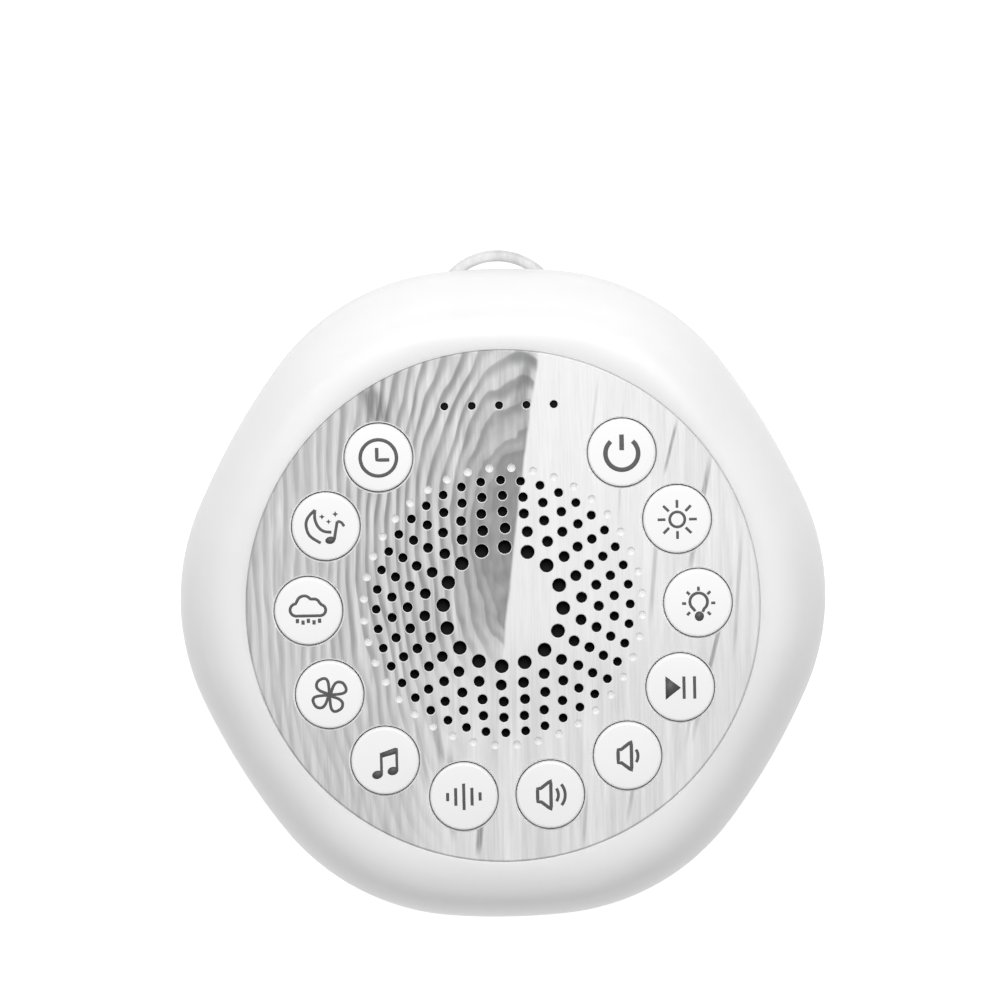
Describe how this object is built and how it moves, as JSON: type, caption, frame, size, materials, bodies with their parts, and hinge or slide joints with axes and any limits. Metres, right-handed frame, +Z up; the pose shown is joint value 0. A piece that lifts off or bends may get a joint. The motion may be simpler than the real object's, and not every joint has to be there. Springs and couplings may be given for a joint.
{
  "type": "white noise sound machine",
  "caption": "Puck-shaped bedside sound machine with a round grille, a circle of push buttons, indicator holes, a night-light shell and a swing-out hanging ring.",
  "frame": {"origin": "centre of the flat rest face of the rubber pad, on the surface that the machine lies on", "axes": "+Z up out of the face plate, +Y towards the hanging ring, +X to the right as the face is looked at"},
  "size_m": [0.11, 0.1125, 0.0513],
  "materials": {
    "translucent_shell": "satin, slightly translucent",
    "shell": "satin",
    "wood_print": "satin print of grey wood grain",
    "ring_wood_print": "satin print of grey wood grain",
    "foam_tape": "closed foam",
    "steel": "zinc plated",
    "port_steel": "bright plated",
    "rubber": "matt",
    "switch_housing": "moulded",
    "switch_plunger": "moulded",
    "board": "solder mask",
    "led": "clear dome",
    "clear_plastic": "smoked clear plastic",
    "cloth": "open weave",
    "cone_paper": "pressed pulp",
    "copper_wire": "enamelled copper winding",
    "ferrite": "ferrite",
    "chip": "moulded epoxy",
    "battery_wrap": "shrink film",
    "connector_plastic": "moulded",
    "ribbon": "film",
    "wire": "PVC insulation",
    "button": "satin with a printed icon"
  },
  "bodies": {
    "housing": {"front_shell": "translucent_shell", "rear_shell": "shell", "face_plate": "wood_print", "face_plate_adhesive": "foam_tape", "hanging_ring_pin": "steel", "rubber_pad": "rubber", "case_screws": "steel", "button_switches": "switch_housing", "control_board": "board", "board_screws": "steel", "indicator_leds": "led", "indicator_light_pipe": "clear_plastic", "grille_cloth": "cloth", "speaker_gasket": "foam_tape", "speaker_basket": "steel", "speaker_surround": "rubber", "speaker_spider": "cloth", "speaker_top_plate": "steel", "speaker_magnet": "ferrite", "speaker_yoke": "steel", "speaker_terminal": "switch_housing", "speaker_clamp_screws": "steel", "night_light_board": "board", "night_light_leds": "led", "main_board": "board", "main_board_components": "chip", "charging_port": "port_steel", "battery_cell": "battery_wrap", "battery_tape": "foam_tape", "board_connectors": "connector_plastic", "ribbon_cable": "ribbon", "internal_wires": "wire"},
    "hanging_ring_body": {"hanging_ring": "ring_wood_print"},
    "speaker_diaphragm": {"speaker_cone": "cone_paper", "speaker_dust_cap": "cone_paper", "speaker_voice_coil": "copper_wire"},
    "lamp_button_body": {"lamp_button": "button", "lamp_switch_plunger": "switch_plunger"},
    "sun_button_body": {"sun_button": "button", "sun_switch_plunger": "switch_plunger"},
    "power_button_body": {"power_button": "button", "power_switch_plunger": "switch_plunger"},
    "clock_button_body": {"clock_button": "button", "clock_switch_plunger": "switch_plunger"},
    "moon_button_body": {"moon_button": "button", "moon_switch_plunger": "switch_plunger"},
    "rain_button_body": {"rain_button": "button", "rain_switch_plunger": "switch_plunger"},
    "fan_button_body": {"fan_button": "button", "fan_switch_plunger": "switch_plunger"},
    "music_button_body": {"music_button": "button", "music_switch_plunger": "switch_plunger"},
    "sound_wave_button_body": {"sound_wave_button": "button", "sound_wave_switch_plunger": "switch_plunger"},
    "volume_up_button_body": {"volume_up_button": "button", "volume_up_switch_plunger": "switch_plunger"},
    "volume_down_button_body": {"volume_down_button": "button", "volume_down_switch_plunger": "switch_plunger"},
    "play_pause_button_body": {"play_pause_button": "button", "play_pause_switch_plunger": "switch_plunger"}
  },
  "joints": [
    {"name": "lamp_press", "type": "slide", "parent": "housing", "child": "lamp_button_body", "axis": [0, 0, -1], "range_m": [0, 0.0005], "stiffness_N_per_m": 1500, "springref_m": -0.0002},
    {"name": "sun_press", "type": "slide", "parent": "housing", "child": "sun_button_body", "axis": [0, 0, -1], "range_m": [0, 0.0005], "stiffness_N_per_m": 1500, "springref_m": -0.0002},
    {"name": "power_press", "type": "slide", "parent": "housing", "child": "power_button_body", "axis": [0, 0, -1], "range_m": [0, 0.0005], "stiffness_N_per_m": 1500, "springref_m": -0.0002},
    {"name": "clock_press", "type": "slide", "parent": "housing", "child": "clock_button_body", "axis": [0, 0, -1], "range_m": [0, 0.0005], "stiffness_N_per_m": 1500, "springref_m": -0.0002},
    {"name": "moon_press", "type": "slide", "parent": "housing", "child": "moon_button_body", "axis": [0, 0, -1], "range_m": [0, 0.0005], "stiffness_N_per_m": 1500, "springref_m": -0.0002},
    {"name": "rain_press", "type": "slide", "parent": "housing", "child": "rain_button_body", "axis": [0, 0, -1], "range_m": [0, 0.0005], "stiffness_N_per_m": 1500, "springref_m": -0.0002},
    {"name": "fan_press", "type": "slide", "parent": "housing", "child": "fan_button_body", "axis": [0, 0, -1], "range_m": [0, 0.0005], "stiffness_N_per_m": 1500, "springref_m": -0.0002},
    {"name": "music_press", "type": "slide", "parent": "housing", "child": "music_button_body", "axis": [0, 0, -1], "range_m": [0, 0.0005], "stiffness_N_per_m": 1500, "springref_m": -0.0002},
    {"name": "sound_wave_press", "type": "slide", "parent": "housing", "child": "sound_wave_button_body", "axis": [0, 0, -1], "range_m": [0, 0.0005], "stiffness_N_per_m": 1500, "springref_m": -0.0002},
    {"name": "volume_up_press", "type": "slide", "parent": "housing", "child": "volume_up_button_body", "axis": [0, 0, -1], "range_m": [0, 0.0005], "stiffness_N_per_m": 1500, "springref_m": -0.0002},
    {"name": "volume_down_press", "type": "slide", "parent": "housing", "child": "volume_down_button_body", "axis": [0, 0, -1], "range_m": [0, 0.0005], "stiffness_N_per_m": 1500, "springref_m": -0.0002},
    {"name": "play_pause_press", "type": "slide", "parent": "housing", "child": "play_pause_button_body", "axis": [0, 0, -1], "range_m": [0, 0.0005], "stiffness_N_per_m": 1500, "springref_m": -0.0002},
    {"name": "hanging_ring_hinge", "type": "hinge", "parent": "housing", "child": "hanging_ring_body", "pos_m": [0, 0.046, 0.0039], "axis": [1, 0, 0], "range_deg": [-180, 0]},
    {"name": "diaphragm_stroke", "type": "slide", "parent": "housing", "child": "speaker_diaphragm", "axis": [0, 0, 1], "range_m": [-0.0008, 0.0008], "stiffness_N_per_m": 1200, "deforming": ["speaker_surround", "speaker_spider"]}
  ]
}
